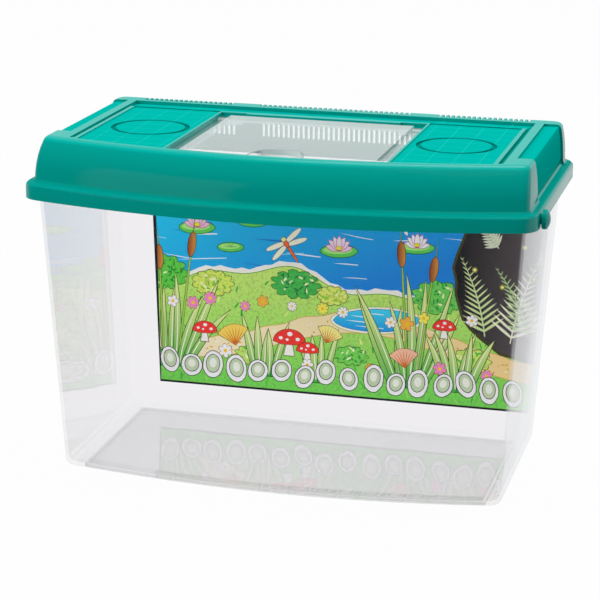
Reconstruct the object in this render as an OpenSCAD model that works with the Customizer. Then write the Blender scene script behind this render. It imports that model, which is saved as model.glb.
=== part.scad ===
// Plastic pet keeper: a clear tank with a bowed front, a moulded lid, a clear hinged hatch and a backdrop.
// Units are millimetres. X runs along the tank, Y from front to back, Z up from the base's flat face.

/* [Tank] */
// Length over the tank's end walls at the floor
tank_base_len = 327; // [280:1:360]
// Depth over the front and rear walls at the tank's ends, at the floor
tank_base_depth = 164; // [130:1:200]
// Height of the tank from the base to the top of its rim
tank_h = 219.4; // [180:0.1:240]
// How far each wall leans outwards from the floor to the rim
tank_draft = 13; // [6:0.5:16]
// How far the front wall bows forward at the floor
tank_base_bow = 17; // [10:1:24]
// How far the front wall bows forward at the rim
tank_rim_bow = 28.5; // [20:0.5:34]
// Radius of the tank's upright corners
tank_corner_r = 9; // [6:0.5:12]
// Thickness of the tank's walls
tank_wall = 2.2; // [1.6:0.1:3]
// Thickness of the tank's floor
tank_floor = 2.5; // [2:0.1:4]
// Radius of the edge between the walls and the underside
tank_edge_r = 5; // [3:0.5:8]
// Height of the stepped foot under the tank
foot_h = 4; // [3:0.5:6]
// How far the foot is set in from the walls
foot_inset = 12; // [8:0.5:16]
// Bevel round the foot's lower edge
foot_bevel = 0.5; // [0.3:0.1:1]
// Width of the lip that turns outwards round the rim
rim_lip_w = 4.2; // [3:0.1:5]
// Thickness of the rim's lip
rim_lip_t = 2; // [1.5:0.1:3]

/* [Lid flange] */
// Clearance between the rim's lip and the inside of the lid's skirt
skirt_gap = 1.6; // [0.5:0.1:3]
// Thickness of the lid's skirt
skirt_t = 2.4; // [1.8:0.1:3]
// Height of the lid's skirt, with its rounded top edge
skirt_h = 11.4; // [9:0.1:14]
// Radius of the skirt's top edge
skirt_edge_r = 3; // [1.5:0.5:4]
// Thickness of the ledge that lies on the tank's rim
ledge_t = 2.5; // [2:0.1:4]
// Gap between the tank's rim and the ledge
seat_gap = 0.3; // [0.2:0.1:0.6]

/* [Lid hood] */
// Height of the hood above the flange
hood_h = 30; // [26:1:36]
// How much larger than the hood's height is the radius of its bulging front wall
hood_bulge_extra = 5.5; // [3:0.5:30]
// Width of the flange's ledge in front of the hood
hood_front_ledge = 8; // [6:0.5:12]
// Width of the flange's ledge at the hood's ends
hood_end_ledge = 6.5; // [5:0.5:9]
// Width of the flange's ledge behind the hood
hood_rear_ledge = 9.5; // [6:0.5:14]
// How far the end walls lean in, as a share of the front wall's lean
hood_end_lean = 0.18; // [0.1:0.02:0.3]
// How far the rear wall leans in, as a share of the front wall's lean
hood_rear_lean = 0.25; // [0.1:0.05:0.4]
// Thickness of the hood's walls and top
hood_t = 2.2; // [1.8:0.1:3]
// Radius of the hood's upright corners
hood_corner_r = 6; // [4:0.5:8]
// Radius of the cove between the flange and the hood
cove_r = 3; // [1.5:0.5:4]
// Radius of the hood's top edge at the ends
end_edge_r = 2.5; // [1.5:0.5:3]
// Radius of the hood's top edge along the front and back
front_edge_r = 1; // [0.5:0.1:1.5]

/* [Lid top] */
// Depth of the channels between the side panels and the frame
channel_d = 2.6; // [1.5:0.1:3]
// Width of the level floor of the channel in front of the rear crest
channel_floor = 3; // [1:0.5:8]
// How far the raised side panels lie below the frame
panel_drop = 0.8; // [0.4:0.1:1.2]
// Width of an end panel on the lid's top
end_panel_w = 12.2; // [10:0.1:14]
// Width of an end ridge, between an end panel and a channel
ridge_w = 6.5; // [5:0.5:7.5]
// Width of the channel between an end ridge and a side panel
end_channel_w = 3.5; // [2:0.5:5]
// Width of the polished rib along a side panel's outer edge
panel_rib_w = 3; // [2:0.5:4]
// Depth of the frame's front band at the ends
front_band = 22; // [16:1:28]
// Depth of the frame's rear band, which carries the vent comb
rear_band = 14; // [12:0.5:18]
// Distance from the rear crest to the rear edge of the side panels, where the lid slopes down to the channel
panel_rear_gap = 38; // [34:1:40]
// Depth of the end panels below the frame
end_panel_d = 1.8; // [0.8:0.1:2]
// Distance of a ring groove's centre from the side of the hatch recess
ring_out = 34.5; // [32:0.5:38]
// How far a ring groove's centre lies in front of its panel's middle
ring_fwd = 8; // [0:0.5:10]
// Outer radius of a ring groove
ring_r = 29; // [24:0.5:31]
// Width of a ring groove
ring_w = 3.6; // [2:0.2:5]
// Depth of a ring groove
ring_d = 1.4; // [0.6:0.1:1.6]

/* [Vent comb] */
// Distance between two vent slots
slot_pitch = 4; // [3.6:0.1:6]
// Width of a vent slot
slot_w = 2; // [1.2:0.1:2.4]
// Distance from the side of the hatch recess to the first slot of a side group
side_slots_in = 1.5; // [1:0.5:6]
// How far the slots run forward over the crest
slot_run = 9; // [5:0.5:10]
// Height of the slots' lower ends above the flange
slot_foot = 4; // [4:0.5:12]

/* [Hatch] */
// Distance from the middle to the side of the hatch recess
recess_half = 79.5; // [70:0.5:81.5]
// Width of the lid's front strip in front of the hatch
front_strip = 4; // [3:0.5:6]
// Width of the lip that the hatch lies on
lip_w = 2; // [1.5:0.5:3]
// Depth of the lip below the lid's top
lip_d = 5.9; // [5:0.1:7]
// Gap at the hatch's sides and front
hatch_gap = 0.5; // [0.3:0.1:1]
// Gap between the hatch's rear edge, as it swings, and the rail
swing_gap = 0.6; // [0.3:0.1:1.5]
// Width of the raised bead along the sides of the hatch recess
bead_w = 1.6; // [1:0.1:3]
// Thickness of the hatch
hatch_t = 1.8; // [1.4:0.1:2.4]
// Height of the hatch's raised tray
tray_h = 3; // [2:0.1:4]
// Distance from the hatch's side to its raised tray
tray_inset = 8.5; // [6:0.5:12]
// Distance from the hatch's front edge to its raised tray
tray_front = 3.5; // [3:0.5:8]
// Width of the finger scoop
scoop_w = 38; // [30:1:50]
// Depth of the finger scoop from front to back
scoop_l = 26; // [20:1:34]
// Distance from the middle to each end of the rail between the hinge notches
rail_half = 59.5; // [50:0.5:62]
// Distance from the rear crest to the front of the rail
rail_back = 44; // [42:0.5:50]
// Depth from front to back of the notches at the rail's ends
notch_run = 3; // [2:0.5:4]

/* [Hatch hinge] */
// Distance of the hinge's axis in front of the rail
hinge_fwd = 7.5; // [6:0.5:10]
// Height of the hinge's axis above the hatch's underside
hinge_rise = 0.8; // [0.6:0.1:1.2]
// Radius of the hinge pins
pin_r = 1.8; // [1.4:0.1:2]
// Length of a hinge pin in its socket
pin_l = 3; // [2:0.5:4]
// Radial clearance of the hinge pins
pin_gap = 0.08; // [0.02:0.01:0.1]
// Radius of the hatch's hinge knuckles
knuckle_r = 3; // [2.6:0.1:3.2]
// Clearance at each end of a hinge knuckle
knuckle_gap = 0.6; // [0.3:0.1:1.5]
// Clearance in front of a hinge knuckle
knuckle_fore = 1; // [0.5:0.1:3]
// Clearance at the end of a hinge pin
pin_end_gap = 0.3; // [0.2:0.1:1]

/* [Strap pegs] */
// Radius of a peg's head
peg_head_r = 6.8; // [5:0.1:8]
// Height of the straight side of a peg's head
peg_side_h = 3; // [1:0.1:4]
// Height of the dome on a peg's head
peg_dome_h = 2.4; // [1.5:0.1:4]
// Radius of a peg's neck
peg_neck_r = 3.6; // [2.5:0.1:4.5]
// Length of a peg's neck outside the skirt
peg_neck_l = 1.2; // [0.8:0.1:2.5]
// Distance of a peg behind the front end of the skirt's straight side
peg_back = 3; // [0:0.5:30]
// Radial clearance of a peg's shank in the skirt
peg_gap = 0.05; // [0.02:0.01:0.1]

/* [Backdrop] */
// Thickness of the backdrop sheet
sheet_t = 0.4; // [0.3:0.1:0.8]
// Mean margin between the backdrop's ends and the tank's corners
sheet_margin = 15; // [14:1:24]
// How far the loose backdrop stands to the right of the tank's middle
sheet_shift = 9; // [-12:1:12]
// Height of the backdrop's lower edge above the base
sheet_z = 22; // [12:1:40]
// Gap between the backdrop's upper edge and the lip of the rim
sheet_top_gap = 9; // [4:1:30]
// Gap between the backdrop and the rear wall
sheet_gap = 0.1; // [0.1:0.1:0.3]

/* [Hidden] */
$fn = 48;
// Facets of the wide circles that bow the fronts
bow_fn = 200;
// How far solids sink into each other where they join, and how far a cut runs past a face
eps = 0.05;
over = 1;
// Points along a bowed front, and along each rounded corner
front_points = 22;
corner_points = 6;
// Turn between the rings of a rounded edge on the tank and on the lid
tank_turn = 22.5;
lid_turn = 30;
// Rings up the hood's wall, and the smallest radius of an inner corner
hood_rings = 5;
min_r = 1;

// Tank sizes at the rim
rim_len = tank_base_len + 2 * tank_draft;
rim_depth = tank_base_depth + 2 * tank_draft;
lip_half = rim_len / 2 + rim_lip_w;

// Lid sizes, each worked out from the tank's rim
flange_half = lip_half + skirt_gap + skirt_t;
flange_front = -rim_depth / 2 - rim_lip_w - skirt_gap - skirt_t;
flange_rear = -flange_front;
flange_corner_r = tank_corner_r + rim_lip_w + skirt_gap + skirt_t;
ledge_z = tank_h + seat_gap;
flange_top = ledge_z + ledge_t;
flange_bottom = flange_top - skirt_h;
lid_top = flange_top + hood_h;
hood_bulge_r = hood_h + hood_bulge_extra;
hood_lean = hood_bulge_r - sqrt(pow(hood_bulge_r, 2) - pow(hood_h, 2));
hood_half = flange_half - hood_end_ledge;
hood_front = flange_front + hood_front_ledge;
hood_rear = flange_rear - hood_rear_ledge;
top_half = hood_half - hood_end_lean * hood_lean;
top_front = hood_front + hood_lean;
top_rear = hood_rear - hood_rear_lean * hood_lean;
bow = tank_rim_bow;

// Stations on the lid's top
channel_z = lid_top - channel_d;
panel_z = lid_top - panel_drop;
panel_rear = top_rear - panel_rear_gap;
band_front_end = top_front + front_band;
band_rear_start = top_rear - rear_band;
ridge_out = top_half - end_panel_w;
ridge_in = ridge_out - ridge_w;
panel_out = ridge_in - end_channel_w;
panel_half = panel_out - panel_rib_w;
lip_z = lid_top - lip_d;
rail_y = top_rear - rail_back;
recess_front = top_front + front_edge_r + front_strip;
ring_x = recess_half + ring_out;
ring_y = (top_front + panel_rear) / 2 - ring_fwd;
slots_mid = floor(2 * rail_half / slot_pitch) + 1;
slots_side = floor((panel_out - recess_half - side_slots_in) / slot_pitch);

// Hatch sizes, each worked out from its recess
hatch_z = lip_z + seat_gap;
hatch_half = recess_half - hatch_gap;
hatch_front = recess_front + hatch_gap;
hinge_y = rail_y - hinge_fwd;
hinge_z = hatch_z + hinge_rise;
hatch_rear = hinge_y + sqrt(pow(hinge_fwd - swing_gap, 2) - pow(hatch_t - hinge_rise, 2));
knuckle_in = rail_half + knuckle_gap;
knuckle_out = recess_half - knuckle_gap;
lip_end = hinge_y - knuckle_r - knuckle_fore;
socket_r = pin_r + pin_gap + hood_t;
socket_t = pin_l + hood_t;

// Strap peg place
peg_y = flange_front + flange_corner_r + peg_back;
peg_z = flange_bottom + skirt_h / 2;
peg_shank_l = skirt_t;

// ---- outlines and skins ----

// Centre height of the circle that bows a front of half-length h forward by b
function bow_r(h, b) = (h * h + b * b) / (2 * b);

// Points of a circle's arc about c, from angle a0 to a1
function arc(c, r, a0, a1, n) =
    [for (i = [0 : n]) let (a = a0 + (a1 - a0) * i / n) c + r * [cos(a), sin(a)]];

// Outline with a bowed front and rounded corners. The ends step in by dent from y0 to y1.
function outline(h, front, rear, b, r, dent = 0, y0 = 0, y1 = 0) =
    let (big = bow_r(h, b), cy = front - b + big, cx = h - r,
         fy = cy - sqrt(pow(big - r, 2) - cx * cx),
         a0 = atan2(fy - cy, cx),
         side = dent == 0 ? [] : [[h, y0], [h - dent, y0], [h - dent, y1], [h, y1]])
    concat(
        [for (i = [1 : front_points - 1]) let (a = -180 - a0 + (180 + 2 * a0) * i / front_points)
            [0, cy] + big * [cos(a), sin(a)]],
        arc([cx, fy], r, a0, 0, corner_points),
        side,
        arc([cx, rear - r], r, 0, 90, corner_points),
        arc([-cx, rear - r], r, 90, 180, corner_points),
        [for (i = [len(side) - 1 : -1 : 0]) [-side[i][0], side[i][1]]],
        arc([-cx, fy], r, 180, 180 - a0, corner_points));

// An outline lifted to height z
function ring(points, z) = [for (p = points) [p[0], p[1], z]];

// Closed solid through a stack of rings, lowest first, all with as many points
module skin(rings) {
    n = len(rings[0]);
    last = len(rings) - 1;
    polyhedron(
        points = [for (r = rings) each r],
        faces = concat(
            [[for (i = [0 : n - 1]) i]],
            [for (k = [0 : last - 1], i = [0 : n - 1]) let (j = (i + 1) % n, lo = k * n, hi = lo + n)
                each [[lo + i, hi + i, lo + j], [lo + j, hi + i, hi + j]]],
            [[for (i = [n - 1 : -1 : 0]) last * n + i]]));
}

// ---- tank ----

// Share of the tank's height between the foot and the rim
function rise(z) = (z - foot_h) / (tank_h - foot_h);

// Half-length and half-depth of the tank at height z
function half_len(z) = tank_base_len / 2 + tank_draft * rise(z);
function half_depth(z) = tank_base_depth / 2 + tank_draft * rise(z);

// Tank outline at height z, set in from the wall by s
function tank_ring(z, s) =
    ring(outline(half_len(z) - s, s - half_depth(z), half_depth(z) - s,
        tank_base_bow + (tank_rim_bow - tank_base_bow) * rise(z), max(tank_corner_r - s, min_r)), z);

// Rounded lower edge and straight walls, set in from the outside by s, from height z0 up to z1
module tank_body(z0, z1, s) {
    r = tank_edge_r;
    skin(concat(
        [for (a = [0 : tank_turn : 90]) tank_ring(z0 + r * (1 - cos(a)), s + r * (1 - sin(a)))],
        [tank_ring(z1, s)]));
}

// Foot from height z0 up to z1, set in by s more than its inset
module foot(z0, z1, s) skin([
    tank_ring(z0, foot_inset + s + foot_bevel),
    tank_ring(z0 + foot_bevel, foot_inset + s),
    tank_ring(z1, foot_inset + s)]);

module tank() color([0.88, 0.92, 0.93, 0.35]) difference() {
    union() {
        tank_body(foot_h, tank_h, 0);
        foot(0, foot_h + tank_floor / 2, 0);
        skin([tank_ring(tank_h - rim_lip_t, -rim_lip_w), tank_ring(tank_h, -rim_lip_w)]);
    }
    tank_body(foot_h + tank_floor, tank_h + over, tank_wall);
    foot(tank_floor, foot_h + tank_floor + tank_edge_r, tank_wall);
}

// ---- backdrop ----

// Half-length of the backdrop at height z, with ends that lean as the tank's do
function sheet_half(z) = half_len(z) - sheet_margin;

module backdrop() color("teal") {
    z1 = tank_h - rim_lip_t - sheet_top_gap;
    lean = atan(tank_draft / (tank_h - foot_h));
    up = (z1 - sheet_z) / cos(lean);
    translate([sheet_shift, half_depth(sheet_z) + sheet_gap, sheet_z]) rotate([90 - lean, 0, 0])
        mirror([0, 0, 1]) linear_extrude(sheet_t)
            polygon([[-sheet_half(sheet_z), 0], [sheet_half(sheet_z), 0],
                [sheet_half(z1), up], [-sheet_half(z1), up]]);
}

// ---- lid ----

// Outline of the flange, set in by s
function flange_ring(z, s) =
    ring(outline(flange_half - s, flange_front + s, flange_rear - s, bow, flange_corner_r - s), z);

// How far the bulging front wall stands out from its top edge at height z
function bulge(z) = sqrt(pow(hood_bulge_r, 2) - pow(z - flange_top, 2)) - hood_bulge_r + hood_lean;

// Outline of the hood at height z, set in by s, and by end_s more at the ends, with its end panels dented
function hood_ring(z, s, end_s = 0) =
    let (b = bulge(min(max(z, flange_top), lid_top)))
    ring(outline(top_half + hood_end_lean * b - s - end_s, top_front - b + s,
        top_rear + hood_rear_lean * b - s, bow, max(hood_corner_r - s, min_r),
        end_panel_d, band_front_end, band_rear_start), z);

// Ring of the hood's rounded top edge, turned by a from the wall
function top_edge_ring(a) = hood_ring(lid_top - end_edge_r * (1 - sin(a)), front_edge_r * (1 - cos(a)),
    (end_edge_r - front_edge_r) * (1 - cos(a)));

// Outside of the hood, cut level at the lid's top
module hood_skin() intersection() {
    skin(concat(
        [hood_ring(ledge_z + eps, -cove_r)],
        [for (a = [0 : lid_turn : 90]) hood_ring(flange_top + cove_r * (1 - cos(a)), -cove_r * (1 - sin(a)))],
        [for (i = [1 : hood_rings])
            hood_ring(flange_top + cove_r + (hood_h - cove_r - end_edge_r) * i / hood_rings, 0)],
        [for (a = [lid_turn : lid_turn : 90 - lid_turn]) top_edge_ring(a)],
        [hood_ring(lid_top + eps, front_edge_r, end_edge_r - front_edge_r)]));
    block([-flange_half, flange_front - bow, flange_bottom], [flange_half, flange_rear, lid_top]);
}

// Inside of the hood, with a level ceiling at height z1
module hood_hollow(z1) intersection() {
    skin([
        hood_ring(ledge_z - ledge_t, hood_t),
        hood_ring(flange_top, hood_t),
        hood_ring((flange_top + z1) / 2, hood_t),
        hood_ring(z1 + over, hood_t)]);
    block([-flange_half, flange_front - bow, flange_bottom], [flange_half, flange_rear, z1]);
}

module flange_skin() skin(concat(
    [flange_ring(flange_bottom, 0)],
    [for (a = [0 : lid_turn : 90])
        flange_ring(flange_top - skirt_edge_r * (1 - sin(a)), skirt_edge_r * (1 - cos(a)))]));

// Box from corner a to corner b
module block(a, b) translate(a) cube(b - a);

module both_sides() for (m = [0, 1]) mirror([m, 0, 0]) children();

// Outline of the hatch's length and depth, with a front edge that follows the lid's bow
module hatch_plan(half, front, rear) difference() {
    translate([-half, front - bow]) square([2 * half, rear - front + bow]);
    difference() {
        translate([-2 * top_half, front - 2 * bow]) square([4 * top_half, 2 * bow + front_band]);
        translate([0, front - bow + bow_r(top_half, bow)]) circle(r = bow_r(top_half, bow), $fn = bow_fn);
    }
}

// Slot centred at x that wraps over the rear crest and runs down the rear wall
module slot(x) block([x - slot_w / 2, top_rear - slot_run, flange_top + slot_foot],
    [x + slot_w / 2, flange_rear, lid_top + over]);

module vent_slots() {
    for (i = [0 : slots_mid - 1]) slot((i - (slots_mid - 1) / 2) * slot_pitch);
    both_sides() for (i = [0 : slots_side - 1])
        slot(recess_half + side_slots_in + slot_w / 2 + i * slot_pitch);
}

module ring_groove() translate([ring_x, ring_y, panel_z - ring_d]) difference() {
    cylinder(r = ring_r, h = ring_d + over);
    translate([0, 0, -over]) cylinder(r = ring_r - ring_w, h = ring_d + 3 * over);
}

// What is cut away from the lid's top, down to the channels and panels
module top_cuts() {
    top = lid_top + over;
    translate([-ridge_in, 0, 0]) rotate([90, 0, 90]) linear_extrude(2 * ridge_in) polygon([
        [panel_rear, top], [panel_rear, panel_z], [band_rear_start - channel_floor, channel_z],
        [band_rear_start, channel_z], [band_rear_start, top]]);
    translate([0, 0, panel_z]) linear_extrude(panel_drop + over) difference() {
        hatch_plan(panel_half, recess_front, panel_rear);
        translate([-recess_half - bead_w, -flange_rear - bow])
            square([2 * (recess_half + bead_w), 2 * flange_rear + bow]);
    }
    both_sides() {
        block([panel_out, top_front, channel_z], [ridge_in, band_rear_start, top]);
        block([ridge_out, band_front_end - eps, lid_top - end_panel_d],
            [flange_half, band_rear_start + eps, top]);
        ring_groove();
    }
}

// Recess that the hatch lies in. The lip stops short of the hinge, and the rail is notched at its ends.
module hatch_recess() {
    translate([0, 0, lip_z]) linear_extrude(lip_d + over) hatch_plan(recess_half, recess_front, rail_y);
    translate([0, 0, lip_z - hood_t - over]) linear_extrude(lip_d)
        hatch_plan(recess_half - lip_w, recess_front + lip_w, rail_y);
    both_sides() {
        block([rail_half, lip_end, lip_z - hood_t - over], [recess_half, rail_y, lid_top]);
        block([rail_half, rail_y - over, channel_z], [recess_half, rail_y + notch_run, lid_top + over]);
    }
}

// Walls round the recess's front and sides, which carry the lip and the hinge sockets
module recess_walls() {
    translate([0, 0, lip_z - hood_t]) linear_extrude(channel_z - lip_z + hood_t)
        hatch_plan(recess_half + hood_t, recess_front - front_strip, rail_y);
    both_sides() block([recess_half, hinge_y - socket_r, lip_z - hood_t],
        [recess_half + socket_t, hinge_y + socket_r, channel_z]);
}

module lid() color([0, 0.66, 0.6]) difference() {
    union() {
        difference() {
            union() { flange_skin(); hood_skin(); }
            top_cuts();
            hood_hollow(channel_z - hood_t);
        }
        recess_walls();
    }
    skin([flange_ring(flange_bottom - over, skirt_t), flange_ring(ledge_z, skirt_t)]);
    hatch_recess();
    vent_slots();
    both_sides() {
        translate([recess_half - over, hinge_y, hinge_z]) rotate([0, 90, 0])
            cylinder(r = pin_r + pin_gap, h = over + pin_l + pin_end_gap);
    }
    for (turn = [0, 180]) rotate([0, 0, turn]) translate([flange_half - skirt_t - over, peg_y, peg_z])
        rotate([0, 90, 0]) cylinder(r = peg_neck_r + peg_gap, h = skirt_t + 2 * over);
}

// ---- hatch ----

module hatch_door() color([0.86, 0.9, 0.91, 0.4]) difference() {
    union() {
        translate([0, 0, hatch_z]) linear_extrude(hatch_t) hatch_plan(hatch_half, hatch_front, hatch_rear);
        translate([0, 0, hatch_z]) linear_extrude(tray_h + hatch_t)
            hatch_plan(hatch_half - tray_inset, hatch_front + tray_front, hatch_rear - tray_front);
        both_sides() {
            translate([knuckle_in, hinge_y, hinge_z]) rotate([0, 90, 0])
                cylinder(r = knuckle_r, h = knuckle_out - knuckle_in);
            translate([knuckle_out - over, hinge_y, hinge_z]) rotate([0, 90, 0])
                cylinder(r = pin_r, h = over + knuckle_gap + pin_l);
        }
    }
    difference() {
        translate([0, 0, hatch_z - over]) linear_extrude(over + tray_h)
            hatch_plan(hatch_half - tray_inset - hatch_t, hatch_front + tray_front + hatch_t,
                hatch_rear - tray_front - hatch_t);
        translate([0, 0, hatch_z - 2 * over]) linear_extrude(tray_h + 3 * over) scoop_plan(hatch_t);
    }
    translate([0, 0, hatch_z + hatch_t]) linear_extrude(tray_h + over) scoop_plan(0);
}

// Outline of the finger scoop in the tray's front, grown by s: straight sides and a half-round back
module scoop_plan(s) translate([0, hatch_front - bow + tray_front]) {
    translate([0, scoop_l - scoop_w / 2]) circle(r = scoop_w / 2 + s);
    translate([-scoop_w / 2 - s, -over]) square([scoop_w + 2 * s, scoop_l - scoop_w / 2 + over]);
}

// ---- strap pegs ----

// Radius of the sphere that rounds a peg's head
peg_dome_r = (pow(peg_head_r, 2) + pow(peg_dome_h, 2)) / (2 * peg_dome_h);

module peg() color([0, 0.62, 0.57]) translate([flange_half - peg_shank_l, peg_y, peg_z]) rotate([0, 90, 0])
    rotate_extrude() {
        square([peg_neck_r, peg_shank_l + peg_neck_l + eps]);
        translate([0, peg_shank_l + peg_neck_l]) square([peg_head_r, peg_side_h + eps]);
        translate([0, peg_shank_l + peg_neck_l + peg_side_h]) intersection() {
            square([peg_head_r, peg_dome_h]);
            translate([0, peg_dome_h - peg_dome_r]) circle(r = peg_dome_r, $fn = 2 * $fn);
        }
    }

// The left peg stands diagonally across from the right one
module left_peg() rotate([0, 0, 180]) peg();
module right_peg() peg();

tank();
backdrop();
lid();
hatch_door();
left_peg();
right_peg();
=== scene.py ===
"""Plastic pet keeper: a clear tank with a bowed front, a teal moulded lid with a hinged clear hatch, two strap
pegs and a printed backdrop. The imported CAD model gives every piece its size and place, in metres."""
import math
import random

import bpy
import mathutils
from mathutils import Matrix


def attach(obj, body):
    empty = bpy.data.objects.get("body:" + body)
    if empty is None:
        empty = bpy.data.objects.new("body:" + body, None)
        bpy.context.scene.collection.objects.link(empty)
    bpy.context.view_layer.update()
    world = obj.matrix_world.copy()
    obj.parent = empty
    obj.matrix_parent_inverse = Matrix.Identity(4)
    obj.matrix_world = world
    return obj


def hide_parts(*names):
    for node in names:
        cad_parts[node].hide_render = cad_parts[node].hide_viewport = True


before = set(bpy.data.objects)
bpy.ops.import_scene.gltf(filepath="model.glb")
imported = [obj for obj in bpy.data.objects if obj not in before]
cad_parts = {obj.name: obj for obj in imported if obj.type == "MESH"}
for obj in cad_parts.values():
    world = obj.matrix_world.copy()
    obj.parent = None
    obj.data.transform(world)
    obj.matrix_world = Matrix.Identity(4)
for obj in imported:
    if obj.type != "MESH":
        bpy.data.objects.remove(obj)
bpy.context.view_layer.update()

# ---- Camera ----
# A long lens, a metre and a half in front of the tank and a little to its right, that looks down on the lid.
LENS_MM = 133.85
EYE = (0.38174, -1.56155, 0.56423)
YAW, PITCH, ROLL = -0.2425, 0.2680, 0.0125

camera_data = bpy.data.cameras.new("camera")
camera_data.lens = LENS_MM
camera_data.clip_start = 0.1
camera = bpy.data.objects.new("camera", camera_data)
bpy.context.scene.collection.objects.link(camera)
turn = (mathutils.Matrix.Rotation(-YAW, 4, "Z") @ mathutils.Matrix.Rotation(math.pi / 2 - PITCH, 4, "X")
        @ mathutils.Matrix.Rotation(ROLL, 4, "Z"))
camera.matrix_world = mathutils.Matrix.Translation(EYE) @ turn
bpy.context.scene.camera = camera
bpy.context.scene.view_settings.view_transform = "Standard"


# ---- Stage ----
# A plain floor that shows almost pure white, with next to no shadow on it, in a white room that is brightest
# behind and above. One broad soft lamp hangs overhead, and one stands in front on the left.
MM = 0.001
FLOOR_SIZE = 60


class Field:
    """A node's output: a value, vector or colour. An expression on Fields adds the nodes that work it out."""

    def __init__(self, tree, socket):
        self.tree, self.socket = tree, socket

    def node(self, kind, sockets=None, out=0, **settings):
        """Adds a node: its settings first, then the values or Fields of its sockets. Returns one output."""
        node = self.tree.nodes.new("ShaderNode" + kind)
        for name, value in settings.items():
            setattr(node, name, value)
        for key, value in (sockets or {}).items():
            if isinstance(value, Field):
                self.tree.links.new(value.socket, node.inputs[key])
            else:
                node.inputs[key].default_value = value
        return Field(self.tree, node.outputs[out])

    def math(self, operation, *values):
        return self.node("Math", dict(enumerate(values)), operation=operation)

    def __add__(self, other):
        return self.math("ADD", self, other)

    def __sub__(self, other):
        return self.math("SUBTRACT", self, other)

    def __rsub__(self, other):
        return self.math("SUBTRACT", other, self)

    def __mul__(self, other):
        return self.math("MULTIPLY", self, other)

    def __truediv__(self, other):
        return self.math("DIVIDE", self, other)

    def __pow__(self, other):
        return self.math("POWER", self, other)

    def __abs__(self):
        return self.math("ABSOLUTE", self)

    __radd__, __rmul__ = __add__, __mul__

    def high(self, other):
        return self.math("MAXIMUM", self, other)

    def span(self, start, end, to_start=0.0, to_end=1.0):
        """Runs smoothly from to_start to to_end as this goes from start to end."""
        keys = ("Value", "From Min", "From Max", "To Min", "To Max")
        return self.node("MapRange", dict(zip(keys, (self, start, end, to_start, to_end))),
                         interpolation_type="SMOOTHSTEP")

    def under(self, colour, mask):
        """This colour with another laid over it where mask is 1."""
        rgba = colour if isinstance(colour, Field) else (*colour, 1)
        return self.node("Mix", {0: mask, 6: self, 7: rgba}, out=2, data_type="RGBA")

    def xyz(self):
        """The three parts of a vector."""
        split = self.node("SeparateXYZ", {0: self})
        outputs = split.socket.node.outputs
        return [Field(self.tree, outputs[axis]) for axis in range(3)]


def new_material(name):
    """A material with a Principled shader. Returns it, the shader node, and its place in millimetres."""
    material = bpy.data.materials.new(name)
    material.use_nodes = True
    tree = material.node_tree
    shader = tree.nodes["Principled BSDF"]
    coords = Field(tree, tree.nodes.new("ShaderNodeTexCoord").outputs["Object"])
    place = coords.node("VectorMath", {0: coords, "Scale": 1 / MM}, operation="SCALE")
    return material, shader, place


def feed(shader, **inputs):
    """Sets or links a shader's sockets, named with _ for a space."""
    for key, value in inputs.items():
        socket = shader.inputs[key.replace("_", " ")]
        if isinstance(value, Field):
            value.tree.links.new(value.socket, socket)
        else:
            socket.default_value = value


bpy.ops.mesh.primitive_plane_add(size=FLOOR_SIZE, location=(0, 0, 0))
floor = bpy.context.object
floor.name = "floor"
material, shader, place = new_material("white_sweep")
feed(shader, Base_Color=(0.35, 0.35, 0.35, 1), Roughness=0.9, Specular_IOR_Level=0.1)
tree = material.node_tree
rays = tree.nodes.new("ShaderNodeLightPath").outputs
seen = Field(tree, rays["Is Camera Ray"]).high(Field(tree, rays["Is Glossy Ray"])).high(
    Field(tree, rays["Is Transmission Ray"]))
white = seen.node("Emission", {"Color": (1, 1, 1, 1), "Strength": 1.0})
lit = Field(tree, shader.outputs[0])
mixed = seen.node("MixShader", {0: seen * 0.98, 1: lit, 2: white})
tree.links.new(mixed.socket, tree.nodes["Material Output"].inputs["Surface"])
floor.data.materials.append(material)

world = bpy.data.worlds.new("room")
bpy.context.scene.world = world
world.use_nodes = True
tree = world.node_tree
sky = tree.nodes["Background"]
way = Field(tree, tree.nodes.new("ShaderNodeTexCoord").outputs["Generated"])
x, y, z = way.xyz()
level = (y * 0.9 + z * 0.5).span(-0.75, 0.25, 0.12, 1.0)
tree.links.new(level.socket, sky.inputs["Strength"])
sky.inputs["Color"].default_value = (1, 1, 1, 1)


def lamp(name, place, aim, size, power):
    light = bpy.data.lights.new(name, "AREA")
    light.shape, light.size, light.energy = "SQUARE", size, power
    holder = bpy.data.objects.new(name, light)
    bpy.context.scene.collection.objects.link(holder)
    holder.location = place
    ray = mathutils.Vector(aim) - mathutils.Vector(place)
    holder.rotation_euler = ray.to_track_quat("-Z", "Y").to_euler()


lamp("overhead_softbox", (0.2, 0.3, 1.9), (0, 0, 0.2), 1.4, 24)
lamp("front_softbox", (-1.3, -1.9, 1.0), (0, 0, 0.12), 1.2, 30)

# ---- Tank ----
# One clear polystyrene moulding with a bowed front, drafted walls and a lip round the rim. Light passes
# straight through its walls, which mirror more the further they turn away. The foot is a little milky.
FOOT_TOP, FOOT_LOW = 4.0, 2.0


def bump(height, strength, distance=0.0002):
    return height.node("Bump", {"Height": height, "Strength": strength, "Distance": distance})


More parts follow.
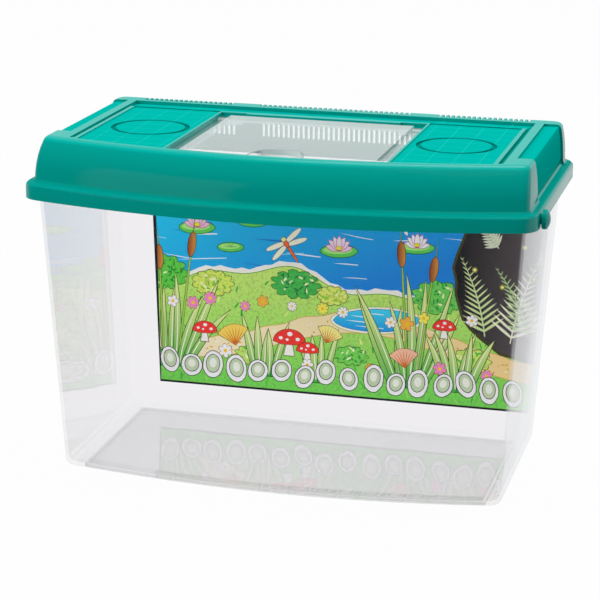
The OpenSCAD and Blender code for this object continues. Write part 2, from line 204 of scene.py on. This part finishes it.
def cad_copy(node, name, bevel=0.0, angle=30, flat=0.2):
    """A merged copy of a CAD node's mesh that stands for it, with bevelled edges and smooth faces."""
    bpy.ops.object.select_all(action="DESELECT")
    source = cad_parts[node]
    piece = source.copy()
    piece.data = source.data.copy()
    piece.name = piece.data.name = name
    piece.data.materials.clear()
    bpy.context.scene.collection.objects.link(piece)
    piece.select_set(True)
    bpy.context.view_layer.objects.active = piece
    bpy.ops.mesh.customdata_custom_splitnormals_clear()
    bpy.ops.object.mode_set(mode="EDIT")
    bpy.ops.mesh.select_all(action="SELECT")
    bpy.ops.mesh.remove_doubles(threshold=2e-6)
    if flat:
        bpy.ops.mesh.dissolve_limited(angle_limit=math.radians(flat))
    bpy.ops.object.mode_set(mode="OBJECT")
    bpy.ops.object.shade_smooth_by_angle(angle=math.radians(angle))
    if bevel:
        modifier = piece.modifiers.new("edges", "BEVEL")
        modifier.width, modifier.segments, modifier.limit_method = bevel, 2, "ANGLE"
        modifier.angle_limit, modifier.harden_normals = math.radians(angle), True
        bpy.ops.object.modifier_apply(modifier=modifier.name)
    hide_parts(node)
    return piece


tank = cad_copy("tank", "tank_moulding", bevel=0.3 * MM)
material, shader, place = new_material("clear_polystyrene")
tree = material.node_tree
tree.nodes.remove(shader)
facing = place.node("LayerWeight", {"Blend": 0.5}, out=1)
waves = place.node("TexNoise", {"Vector": place, "Scale": 0.03, "Detail": 2.0})
ripple = bump(waves, 0.15, 0.001)
foot = place.xyz()[2].span(FOOT_TOP, FOOT_LOW)
through = place.node("BsdfTransparent", {"Color": (0.968, 0.964, 0.97, 1)})
mirror = place.node("BsdfGlossy", {"Color": (0.87, 0.88, 0.89, 1), "Roughness": 0.02, "Normal": ripple})
milk = place.node("BsdfDiffuse", {"Color": (0.5, 0.5, 0.52, 1)})
body = place.node("MixShader", {0: 0.002 + 0.2 * foot, 1: through, 2: milk})
mixed = place.node("MixShader", {0: 0.002 + 0.9 * facing ** 5.0, 1: body, 2: mirror})
tree.links.new(mixed.socket, tree.nodes["Material Output"].inputs["Surface"])
tank.data.materials.append(material)
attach(tank, "tank")

# ---- Backdrop ----
# A thin plastic sheet behind the rear wall, printed on its front with a made-up garden pond by day and a dark
# hollow at one end, in flat inks with dark outlines. Its back is plain white. Lengths here are in millimetres.
scatter = random.Random(11)
shapes = []


def ink(code):
    """An ink's screen code as linear values, lifted to look bright behind clear walls. Darks stay dark."""
    plain = [((int(code[i:i + 2], 16) / 255 + 0.055) / 1.055) ** 2.4 for i in (1, 3, 5)]
    return tuple(1 - (1 - value) ** (1 + min(1.2, 8 * value)) for value in plain)


def fade(code, to_code, start, end):
    """An ink that turns into another from one place on the sheet to another."""
    first, last = ink(code), ink(to_code)
    run = (end[0] - start[0], end[1] - start[1])
    length = run[0] ** 2 + run[1] ** 2

    def blend(x, z):
        part = min(1, max(0, ((x - start[0]) * run[0] + (z - start[1]) * run[1]) / length))
        return [a + (b - a) * part for a, b in zip(first, last)]
    return blend


def stamp(outline, fill, line=None, width=0.5, leafy=0.0):
    """Prints a shape over the others. outline(grow) gives its points, and line is the ink of its dark edge."""
    if line:
        shapes.append((outline(width), ink(line), 0.0))
    shapes.append((outline(0.0), ink(fill) if isinstance(fill, str) else fill, leafy))


def placed(points, across, up, turn):
    """Points turned about their origin and put in their place on the sheet."""
    cos, sin = math.cos(math.radians(turn)), math.sin(math.radians(turn))
    return [(across + x * cos - z * sin, up + x * sin + z * cos) for x, z in points]


def oval(across, up, wide, high, turn=0.0, lobes=0, depth=0.0, rough=0.0, count=20):
    """A rounded outline: plain, lobed as a flower or a bush is, or uneven."""
    count = max(count, lobes * 6)
    jitter = [scatter.uniform(1 - rough, 1) for _ in range(count)]

    def outline(grow):
        points = []
        for k in range(count):
            angle = 2 * math.pi * k / count
            reach = jitter[k] * (1 - depth + depth * abs(math.cos(angle * lobes / 2)) ** 0.6)
            points.append(((wide * reach + grow) * math.cos(angle), (high * reach + grow) * math.sin(angle)))
        return placed(points, across, up, turn)
    return outline


def blade(across, up, length, wide, turn=0.0, bend=0.0, foot=0.3, count=9):
    """A leaf's outline: it stands on its foot, bends over and tapers to a tip."""
    def outline(grow):
        right, left = [], []
        for k in range(count + 1):
            s = k / count
            half = wide / 2 * (1 - s) * (s + foot) / (foot + 0.25) + grow * (1.0 if k < count else 0.25)
            middle = bend * length * s * s
            rise = length * s + (grow * 2 if k == count else 0) - (grow if k == 0 else 0)
            right.append((middle + half, rise))
            left.append((middle - half, rise))
        return placed(right + left[::-1], across, up, turn)
    return outline


def band(lower, upper, start=-170, end=190, step=6):
    """A strip right across the sheet between two curves, each a function of the place along it."""
    def outline(grow):
        across = range(start, end, step)
        return ([(x, lower(x) - grow) for x in across] + [(x, upper(x) + grow) for x in reversed(across)])
    return outline


# The water is lighter towards the far shore, with long pale ripples.
stamp(band(lambda x: 10, lambda x: 240, step=359), fade("#0c66bd", "#14a6e0", (0, 100), (-40, 205)))
for number in range(46):
    across, up = scatter.uniform(-150, 150), 108 + number * 2.1
    stamp(blade(across, up, scatter.uniform(14, 44), scatter.uniform(0.7, 1.5), 90 + scatter.uniform(-5, 5),
                scatter.uniform(-0.06, 0.06)), scatter.choice(("#bfe9f6", "#e8f8fb", "#6fc4ea", "#0b58a6")))

# The far shore: woods and an islet, each over a strip of beach, dabbed with leaves.
for across, up, wide, high, leaf, shade in (
        (-112, 206, 58, 17, "#3f9a35", "#1d5a25"), (-66, 210, 34, 13, "#2f8536", "#164a22"),
        (44, 189, 30, 8, "#55ab3c", "#21702c"), (120, 206, 40, 12, "#38903a", "#175125")):
    stamp(oval(across, up - high * 0.55, wide * 1.12, high * 0.5, rough=0.06), "#f3e3a6", "#eefafa", 1.1)
    stamp(oval(across, up, wide, high, lobes=18, depth=0.14, rough=0.1), leaf, "#123d18", 0.5, 0.7)
    for _ in range(int(wide * 1.1)):
        angle, reach = scatter.uniform(0, 6.3), scatter.uniform(0, 0.86) ** 0.5
        spot = across + math.cos(angle) * wide * reach * 0.9, up + math.sin(angle) * high * reach * 0.85
        stamp(oval(*spot, scatter.uniform(1.2, 2.6), scatter.uniform(0.8, 1.6), scatter.uniform(0, 90),
                   count=6), scatter.choice((shade, shade, "#8cc84a", "#2a6f2d")))

# The near bank: a meadow with a sand path and a small pool.
def shore(x):
    return 112 - 9 * math.sin(x * 0.031) - 4 * math.sin(x * 0.083 + 1)


def path(x):
    return 68 + 15 * math.sin(x * 0.022 + 1)


stamp(band(lambda x: 10, lambda x: shore(x) + 3 + math.sin(x * 0.4)), "#fdf4c8", "#eefafd", 1.2)
stamp(band(lambda x: 10, shore), fade("#a6dc5c", "#5db748", (0, 118), (0, 30)), "#2d7a2a", 0.6, 0.35)
for _ in range(150):
    across = scatter.uniform(-150, 165)
    up = scatter.uniform(24, shore(across) - 4)
    stamp(blade(across, up, scatter.uniform(4, 9), scatter.uniform(1.2, 2.4), scatter.uniform(-40, 40),
                scatter.uniform(-0.2, 0.2), count=3),
          scatter.choice(("#3f9c3a", "#c6e66e", "#79c24c", "#2f8a35")))
stamp(band(lambda x: path(x) - 8, lambda x: path(x) + 8 + math.sin(x * 0.2)),
      fade("#f6d9a0", "#e2b06a", (-150, 60), (150, 60)), "#a9762f", 0.5)
for _ in range(70):
    across = scatter.uniform(-150, 160)
    stamp(oval(across, path(across) + scatter.uniform(-7, 7), scatter.uniform(0.6, 1.8),
               scatter.uniform(0.4, 0.9), count=6), scatter.choice(("#c98f4c", "#fff0cc", "#b5783a")))
stamp(oval(36, 86, 38, 11, 4, rough=0.05), "#f7f0bd", "#6b8f36", 0.5)
stamp(oval(36, 86, 35, 9, 4, rough=0.05), fade("#0f78c8", "#35b4e6", (36, 78), (36, 94)), "#0c4f8c", 0.5)
for up in (80, 84, 88, 91):
    stamp(blade(scatter.uniform(30, 55), up, scatter.uniform(14, 26), 1.0, 90, 0.03), "#d8f2f8")

# Bushes along the bank, each dabbed with darker and lighter leaves.
for across, up, wide, high, leaf, shade in (
        (-138, 112, 20, 15, "#4fae3c", "#1f6e2c"), (-98, 106, 18, 11, "#b4d951", "#5a9f37"),
        (-30, 110, 21, 12, "#3b9a44", "#17602f"), (0, 103, 13, 8, "#c5df58", "#6dac3a"),
        (84, 108, 22, 14, "#58b24a", "#237a35"), (-66, 50, 13, 8, "#9bcf55", "#3f9738"),
        (16, 56, 15, 8, "#5fb948", "#27803a"), (112, 60, 17, 10, "#a8d657", "#4c9d3c")):
    stamp(oval(across, up, wide, high, lobes=11, depth=0.2, rough=0.08), leaf, "#134a1c", 0.6, 0.5)
    for _ in range(int(wide * 1.3)):
        angle, reach = scatter.uniform(0, 6.3), scatter.uniform(0, 0.8) ** 0.5
        spot = across + math.cos(angle) * wide * reach * 0.85, up + math.sin(angle) * high * reach * 0.85
        stamp(blade(*spot, scatter.uniform(2.5, 5), scatter.uniform(1.4, 2.4), scatter.uniform(-80, 80),
                    count=3), scatter.choice((shade, shade, "#e6f29a")))

# Lily pads, with pink and white lilies on some of them.
for across, up, wide, bloom in ((-112, 150, 15, "#f48fb6"), (-84, 136, 11, None), (-66, 158, 13, "#ffffff"),
                                (4, 139, 15, "#f9a8c6"), (28, 163, 11, None), (66, 146, 14, "#ffffff"),
                                (-20, 174, 10, None), (-130, 178, 9, None)):
    stamp(oval(across, up, wide, wide * 0.34, 3, rough=0.04), "#4fb14a", "#0d4430", 0.6)
    stamp(oval(across - 1, up + 0.6, wide * 0.78, wide * 0.2, 3), "#86d064")
    for turn in (-60, -25, 25, 60):
        stamp(blade(across, up, wide * 0.55, 0.7, turn * 1.35, count=3), "#2b8440")
    if bloom:
        for turn in (-78, 78, -50, 50, -24, 24, 0):
            stamp(blade(across, up + wide * 0.08, wide * 0.72, wide * 0.34, turn, 0.0, 0.12, 6),
                  fade(bloom, "#fff4f8", (across, up), (across, up + wide * 0.9)), "#8c3a66", 0.4)
        stamp(oval(across, up + wide * 0.16, wide * 0.15, wide * 0.1, count=10), "#ffcf30", "#a0641a", 0.3)

# Dragonflies over the water.
for across, up, size, turn, wing, body in (
        (-38, 141, 17, 35, "#fff2b8", "#e4572e"), (52, 168, 14, -50, "#e8fbff", "#f0b41c"),
        (98, 176, 15, 20, "#ffd9ea", "#c21f4c"), (-92, 181, 13, -30, "#f4ffd8", "#f08a1d")):
    for side in (-1, 1):
        for lift, droop in ((-0.04, -14), (0.16, 10)):
            root = placed([(side * size * 0.5, lift * size + droop * 0.1)], across, up, turn)[0]
            stamp(oval(*root, size * 0.5, size * 0.12, turn + side * droop), wing, "#2b3a4a", 0.4)
    for rise, wide, high, tone in (
            (-0.35, 0.06, 0.6, body), (0.06, 0.1, 0.18, body), (0.3, 0.11, 0.1, "#ffe27a")):
        spot = placed([(0, size * rise)], across, up, turn)[0]
        stamp(oval(*spot, size * wide, size * high, turn), tone, "#3a1208", 0.4)

# The dark hollow at one end, with pale ferns and glow-worms.
def dim(x, z):
    part = min(1, max(0, (x - 100) / 62))
    return [a + (b - a) * part for a, b in zip(ink("#08080c"), ink("#4d4849"))]


stamp(oval(158, 128, 62, 66, -4, rough=0.05, count=40), dim, "#3b3a1e", 2.2)
for across, foot, length, turn, bend, leaf in (
        (122, 80, 66, 8, -0.2, "#a9c47a"), (142, 76, 74, -8, 0.16, "#d8e0b0"),
        (156, 82, 60, 14, -0.25, "#8fae70"), (130, 150, 34, 40, 0.2, "#b8c6a0")):
    stamp(blade(across, foot, length, 1.6, turn, bend), leaf)
    for number in range(1, 15):
        s = number / 15
        spot = placed([(bend * length * s * s, length * s)], across, foot, turn)[0]
        for side in (-1, 1):
            stamp(blade(*spot, length * 0.3 * (1.05 - s), 2.6 * (1.2 - s), turn - side * (62 - 20 * s),
                        0, 0.25, 4), leaf)
for across, up in ((128, 166), (150, 152), (112, 132), (146, 178), (134, 120), (116, 172), (158, 128)):
    stamp(oval(across, up, 2.3, 2.3, count=12), "#6d6a2a")
    stamp(oval(across, up, 1.2, 1.2, count=10), "#fff27a")

# Reeds with brown heads, and tall blades of grass in clumps.
for across, foot, count, tall in (
        (-128, 36, 8, 80), (-52, 34, 5, 50), (64, 34, 8, 92), (104, 34, 6, 66), (-8, 32, 4, 44)):
    for number in range(count):
        lean = (number - (count - 1) / 2) * -7.0 + scatter.uniform(-3, 3)
        length, wide = tall * scatter.uniform(0.68, 1.05), scatter.uniform(6, 9)
        start, bend = across + (number - count / 2) * 3.4, scatter.uniform(-0.16, 0.16) - lean * 0.004
        tip = placed([(0, length)], start, foot, lean)[0]
        stamp(blade(start, foot, length, wide, lean, bend),
              fade("#2f8f36", "#d3ea76", (start, foot), tip), "#12401a", 0.55)
        stamp(blade(start, foot + 2, length * 0.86, wide * 0.16, lean, bend * 0.86), "#f2fab4")
for across, up, turn in ((-143, 124, 4), (-116, 136, -6), (54, 140, 5), (80, 130, -7)):
    foot = placed([(0, -84)], across, up, turn)[0]
    stamp(blade(*foot, 108, 1.8, turn, 0.0), "#7fae45", "#24421a", 0.35)
    stamp(oval(across, up, 3.2, 10, turn),
          fade("#6e3614", "#b3713a", (across - 3, up), (across + 3, up)), "#2a1208", 0.5)

# Toadstools, flowers in the grass, and scallop shells on the sand.
for across, foot, size in ((-34, 52, 13), (-19, 49, 9), (90, 76, 9), (-104, 58, 10)):
    stamp(blade(across, foot, size * 1.3, size * 0.7, 0, 0, 3.0), "#f8ecd0", "#3a2418", 0.5)
    cap = [(size * math.cos(a), size * 0.8 * math.sin(a)) for a in (math.pi * k / 14 for k in range(15))]
    cap += [(-size * 0.5, -size * 0.16), (size * 0.5, -size * 0.16)]
    stamp(lambda grow: placed([(u * (1 + grow / size), v * (1 + grow / size) - grow * 0.3) for u, v in cap],
                              across, foot + size * 0.85, 0), "#e0322a", "#4a0f0c", 0.6)
    for du, dv, dot in ((-0.55, 0.22, 0.13), (0.02, 0.5, 0.17), (0.52, 0.2, 0.14), (-0.14, 0.14, 0.1)):
        stamp(oval(across + du * size, foot + size * (0.85 + dv), dot * size, dot * size * 0.8, count=10),
              "#fff6ea")
for number in range(17):
    across = -132 + number * 16 + scatter.uniform(-5, 5)
    up = scatter.choice((88, 46, 50, 92)) + scatter.uniform(-3, 3)
    radius = scatter.uniform(3.8, 6)
    bloom = scatter.choice(("#ffffff", "#ffe14d", "#ff8f3a", "#f06aa0", "#ffffff"))
    stamp(oval(across, up, radius, radius, scatter.uniform(0, 60), lobes=scatter.choice((5, 6, 8)), depth=0.45),
          bloom, "#5a3a1c", 0.45)
    stamp(oval(across, up, radius * 0.28, radius * 0.28, count=10), "#f0a020")
for across, up, size, turn, shell in (
        (-78, 66, 11, 14, "#ffb24d"), (-4, 72, 9, -20, "#ffd86a"), (60, 58, 10, 8, "#ff9a7a")):
    fan = [(0.0, 0.0)] + [((1.5 + 0.06 * (k % 2)) * math.sin(a), (1.5 + 0.06 * (k % 2)) * math.cos(a))
                          for k, a in enumerate(0.85 - 1.7 * k / 18 for k in range(19))]
    stamp(lambda grow: placed([(u * (size + grow), v * (size + grow) - grow) for u, v in fan],
                              across, up - size * 0.8, turn), shell, "#5a2a0c", 0.6)
    for k in range(-3, 4):
        stamp(blade(across, up - size * 0.8, size * 1.4, size * 0.09, turn + k * 13), "#b5591c")

# Smooth pebbles along the foot, with white rims and pale centres.
for number in range(16):
    across, up = -133 + number * 18.6 + scatter.uniform(-1, 1), 38 + scatter.uniform(-2.5, 3)
    wide, high, turn = scatter.uniform(7.4, 9), scatter.uniform(8.5, 11.5), scatter.uniform(-25, 25)
    for reach, tone, line in (
            (1.0, "#fbfdf6", "#10140f"), (0.66, "#9db58a", "#1c2418"), (0.36, "#d9e6c4", None)):
        stamp(oval(across, up + (1 - reach) * 2, wide * reach, high * reach, turn, rough=0.05, count=16),
              tone, line, 0.6)

# A dark line frames the sheet's foot and its left end.
stamp(band(lambda x: 10, lambda x: 23.7, step=359), "#0c1016")
stamp(lambda grow: [(-160, 10), (-139.1, 10), (-149.8, 240), (-160, 240)], "#0c1016")

# The sheet is the CAD's own, with its front drawn afresh: every shape's edge is cut into it, and each patch
# takes the ink that was printed last. Its thickness and plain back are then closed behind the drawing.
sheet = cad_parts["backdrop"].data
front_corners = {tuple(round(value, 7) for value in sheet.vertices[index].co)
                 for face in sheet.polygons if face.normal.y < -0.9 for index in face.vertices}
corners = sorted(front_corners, key=lambda corner: (corner[2], corner[0]))
low_left, low_right, high_left, high_right = [mathutils.Vector(corner) for corner in corners]
lean = (high_left.y - low_left.y) / (high_left.z - low_left.z)
frame_line = [(corner.x / MM, corner.z / MM) for corner in (low_left, low_right, high_right, high_left)]
points, faces = [], []
for outline in [frame_line] + [shape[0] for shape in shapes]:
    faces.append(list(range(len(points), len(points) + len(outline))))
    points += [mathutils.Vector(point) for point in outline]
cut_points, _, cut_faces, _, _, sources = mathutils.geometry.delaunay_2d_cdt(points, [], faces, 0, 1e-4)
kept = [(face, max(source)) for face, source in zip(cut_faces, sources) if 0 in source]
used = {index: number for number, index in enumerate(sorted({index for face, _ in kept for index in face}))}
front_points = [(cut_points[index].x * MM, low_left.y + lean * (cut_points[index].y * MM - low_left.z),
                 cut_points[index].y * MM) for index in used]
mesh = bpy.data.meshes.new("printed_backdrop")
mesh.from_pydata(front_points, [], [[used[index] for index in face] for face, _ in kept])
backdrop = bpy.data.objects.new("printed_backdrop", mesh)
bpy.context.scene.collection.objects.link(backdrop)
inks = mesh.color_attributes.new(name="ink", type="FLOAT_COLOR", domain="CORNER")
values = []
for face, source in kept:
    outline, tone, leafy = shapes[source - 1] if source else (None, ink("#12a3dc"), 0.0)
    for index in face:
        values += [*(tone(*cut_points[index]) if callable(tone) else tone), leafy]
inks.data.foreach_set("color", values)
bpy.ops.object.select_all(action="DESELECT")
backdrop.select_set(True)
bpy.context.view_layer.objects.active = backdrop
bpy.ops.object.mode_set(mode="EDIT")
bpy.ops.mesh.select_all(action="SELECT")
rear_y = min(sheet.vertices[index].co.y
             for face in sheet.polygons if face.normal.y > 0.9 for index in face.vertices)
thickness = rear_y - min(low_left.y, high_left.y)
bpy.ops.mesh.region_to_loop()
bpy.ops.mesh.extrude_region_move(TRANSFORM_OT_translate={"value": (0, thickness, 0)})
bpy.ops.mesh.edge_face_add()
bpy.ops.mesh.select_all(action="SELECT")
bpy.ops.mesh.normals_make_consistent(inside=False)
bpy.ops.object.mode_set(mode="OBJECT")
inks = mesh.color_attributes["ink"].data
for face in mesh.polygons:
    if face.normal.y > -0.5:
        for corner in face.loop_indices:
            inks[corner].color = (0.84, 0.85, 0.85, 0)


def faces_along(field, axis):
    """How far a surface faces along an axis of its piece, from -1 to 1."""
    return field.node("TexCoord", out="Normal").xyz()[axis]


# The print's leaves are mottled. Its front has a little emission of its own colours, which stands in for light
# that the thin sheet lets through from behind.
material, shader, place = new_material("printed_sheet")
printed = place.node("VertexColor", layer_name="ink")
leafy = Field(printed.tree, printed.socket.node.outputs["Alpha"])
leaves = place.node("TexVoronoi", {"Vector": place, "Scale": 0.5})
blotch = place.node("TexNoise", {"Vector": place, "Scale": 0.35, "Detail": 3.0})
screen = place.node("TexNoise", {"Vector": place, "Scale": 2.2, "Detail": 1.0})
picture = printed.under((0.02, 0.12, 0.03), leafy * leaves.span(0.45, 0.85) * 0.6).under(
    (0.75, 0.9, 0.4), leafy * blotch.span(0.58, 0.7) * 0.35)
printed = picture.under((1, 1, 1), screen.span(0.5, 0.75) * 0.05)
front_side = (0 - faces_along(place, 1)).span(0.3, 0.6)
waves = place.node("TexNoise", {"Vector": place, "Scale": 0.03})
feed(shader, Base_Color=printed, Emission_Color=printed.under((0, 0, 0), 1 - front_side), Emission_Strength=0.3,
     Roughness=blotch.span(0.3, 0.7, 0.32, 0.42), Specular_IOR_Level=0.1, Normal=bump(waves, 0.3, 0.001))
backdrop.data.materials.append(material)
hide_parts("backdrop")
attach(backdrop, "tank")

# ---- Lid ----
# Teal polypropylene, moulded in one piece. Its frame and edges are polished. Its side and end panels are finely
# grained, with faint lines in squares and a ring groove in each side panel. Sizes are in millimetres.
PANEL_IN, PANEL_OUT, PANEL_LOW, PANEL_TOP = 81.15, 153.05, 249.1, 251.85
END_PANEL_OUT, END_PANEL_FRONT, END_PANEL_REAR = 163.05, -56.75, 75.65
FRONT_STRIP_Y, FRONT_CURVE = -102.2, 1105.6
RING_X, RING_Y, RING_IN, RING_OUT = 114.0, -21.56, 25.4, 29.0
GRID_X, GRID_Y, GRID_PITCH = 87.0, -80.0, 17.5
# The front band, cove and skirt take a darker teal than the tops, which is painted shade. The grained panels'
# lighter teal is partly their grain's own tone.
SHADED_SIDES_TEAL, GRAIN_AND_LIT_TOP_TEAL = (0.0, 0.235, 0.2), (0.0, 0.31, 0.265)
GRID_TEAL, GROOVE_SHADE_TEAL = (0.03, 0.5, 0.44), (0.0, 0.1, 0.085)


def above(field, edge, soft=0.15):
    """1 where a field is past an edge, and 0 short of it."""
    return field.span(edge - soft, edge + soft)


def below(field, edge, soft=0.15):
    return field.span(edge + soft, edge - soft)


lid = cad_copy("lid", "lid_moulding", bevel=0.25 * MM, angle=25, flat=0)
material, shader, place = new_material("teal_plastic")
x, y, z = place.xyz()
across = abs(x)
behind_strip = above(y - FRONT_STRIP_Y - across * across / FRONT_CURVE, -0.15)
side_panel = (above(across, PANEL_IN) * below(across, PANEL_OUT) * below(z, PANEL_TOP, 0.1)
              * above(z, PANEL_LOW, 0.1) * behind_strip)
end_panel = (above(across, END_PANEL_OUT) * above(y, END_PANEL_FRONT) * below(y, END_PANEL_REAR)
             * z.span(226.0, 227.0))
matte = side_panel.high(end_panel)
sheen = (0.33 * z.span(250.6, 251.6)).high(0.6 * abs(faces_along(place, 0)).span(0.5, 0.8))
off_x, off_y = across - RING_X, y - RING_Y
from_ring = (off_x * off_x + off_y * off_y) ** 0.5
# The inside of each ring groove is painted dark, which is painted shade in the recess.
groove = above(from_ring, RING_IN, 0.2) * below(from_ring, RING_OUT, 0.2) * z.span(251.2, 250.9)
grain = place.node("TexNoise", {"Vector": place, "Scale": 1.6, "Detail": 2.0})
shaded_sides_base = place.node("RGB")
shaded_sides_base.socket.default_value = (*SHADED_SIDES_TEAL, 1)
from_lines = [abs(line.math("FRACT", line) - 0.5)
              for line in ((across - GRID_X) / GRID_PITCH, (y - GRID_Y) / GRID_PITCH)]
grid = from_lines[0].high(from_lines[1]).span(0.478, 0.488)
# Grained panels and every top surface take the lighter teal, the lower sides the darker one: partly the grain's
# own tone, partly painted shade.
colour = shaded_sides_base.under(GRAIN_AND_LIT_TOP_TEAL, matte.high(z.span(248.5, 251.0)))
colour = colour.under(GRID_TEAL, grid * side_panel * 0.3).under(GROOVE_SHADE_TEAL, groove * 0.6)
feed(shader, Base_Color=colour, Roughness=0.5, Specular_IOR_Level=0.0, Coat_Roughness=0.08,
     Coat_Weight=(1 - matte) * (0.03 + sheen), Normal=bump(grain, 0.25 * matte + 0.03, 0.0002))
lid.data.materials.append(material)
teal_plastic = material
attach(lid, "lid")

# ---- Hatch ----
# A clear polystyrene door that lies in the lid's recess and turns on two pins. Its raised tray has a finger
# scoop. Its polished deck mirrors the room at a flat angle. The walls that face the front are greyed with more
# of a milky diffuse, and the edges of the scoop and the tray's front are drawn as dark lines: both are painted
# shade.
SCOOP_Y, SCOOP_HALF_WIDE, SCOOP_LONG = -100.0, 20.0, 27.0
TRAY_FRONT_Y, TRAY_TOP = -98.2, 251.1

hatch = cad_copy("hatch_door", "clear_hatch", bevel=0.25 * MM)
material, shader, place = new_material("hatch_polystyrene")
tree = material.node_tree
tree.nodes.remove(shader)
facing = place.node("LayerWeight", {"Blend": 0.5}, out=1)
through = place.node("BsdfTransparent", {"Color": (0.93, 0.95, 0.95, 1)})
mirror = place.node("BsdfGlossy", {"Color": (0.93, 1, 0.99, 1), "Roughness": 0.1})
milk = place.node("BsdfDiffuse", {"Color": (0.62, 0.7, 0.69, 1)})
x, y, z = place.xyz()
scoop = ((x / SCOOP_HALF_WIDE) ** 2.0 + ((y - SCOOP_Y) / SCOOP_LONG) ** 2.0) ** 0.5
scoop_edge = above(scoop, 0.96, 0.01) * below(scoop, 1.02, 0.01)
front_edge = below(abs(y - TRAY_FRONT_Y - x * x / FRONT_CURVE), 0.55)
# Thin dark lines along the scoop's edge and the tray's front edge are painted shade, and the deck mirrors less
# there.
rim = scoop_edge.high(front_edge) * above(z, TRAY_TOP, 0.1)
shade = place.node("BsdfDiffuse", {"Color": (0.16, 0.2, 0.2, 1)})
# Walls that face the front get far more of the grey diffuse and are less see-through, which is painted shade.
front_walls_greyed = (0 - faces_along(place, 1)).span(0.5, 0.8)
veil = place.node("MixShader", {0: 0.08 + 0.6 * front_walls_greyed, 1: through, 2: milk})
body = place.node("MixShader", {0: 0.75 * rim, 1: veil, 2: shade})
mixed = place.node("MixShader", {0: (0.01 + 0.95 * facing ** 5.0) * (1 - 0.7 * rim), 1: body, 2: mirror})
tree.links.new(mixed.socket, tree.nodes["Material Output"].inputs["Surface"])
hatch.data.materials.append(material)
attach(hatch, "hatch")

# ---- Strap pegs ----
# Two domed pegs, pressed into the lid's skirt, for a carrying strap.
for side in ("left", "right"):
    peg = cad_copy(f"{side}_peg", f"{side}_strap_peg", bevel=0.2 * MM)
    peg.data.materials.append(teal_plastic)
    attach(peg, "lid")
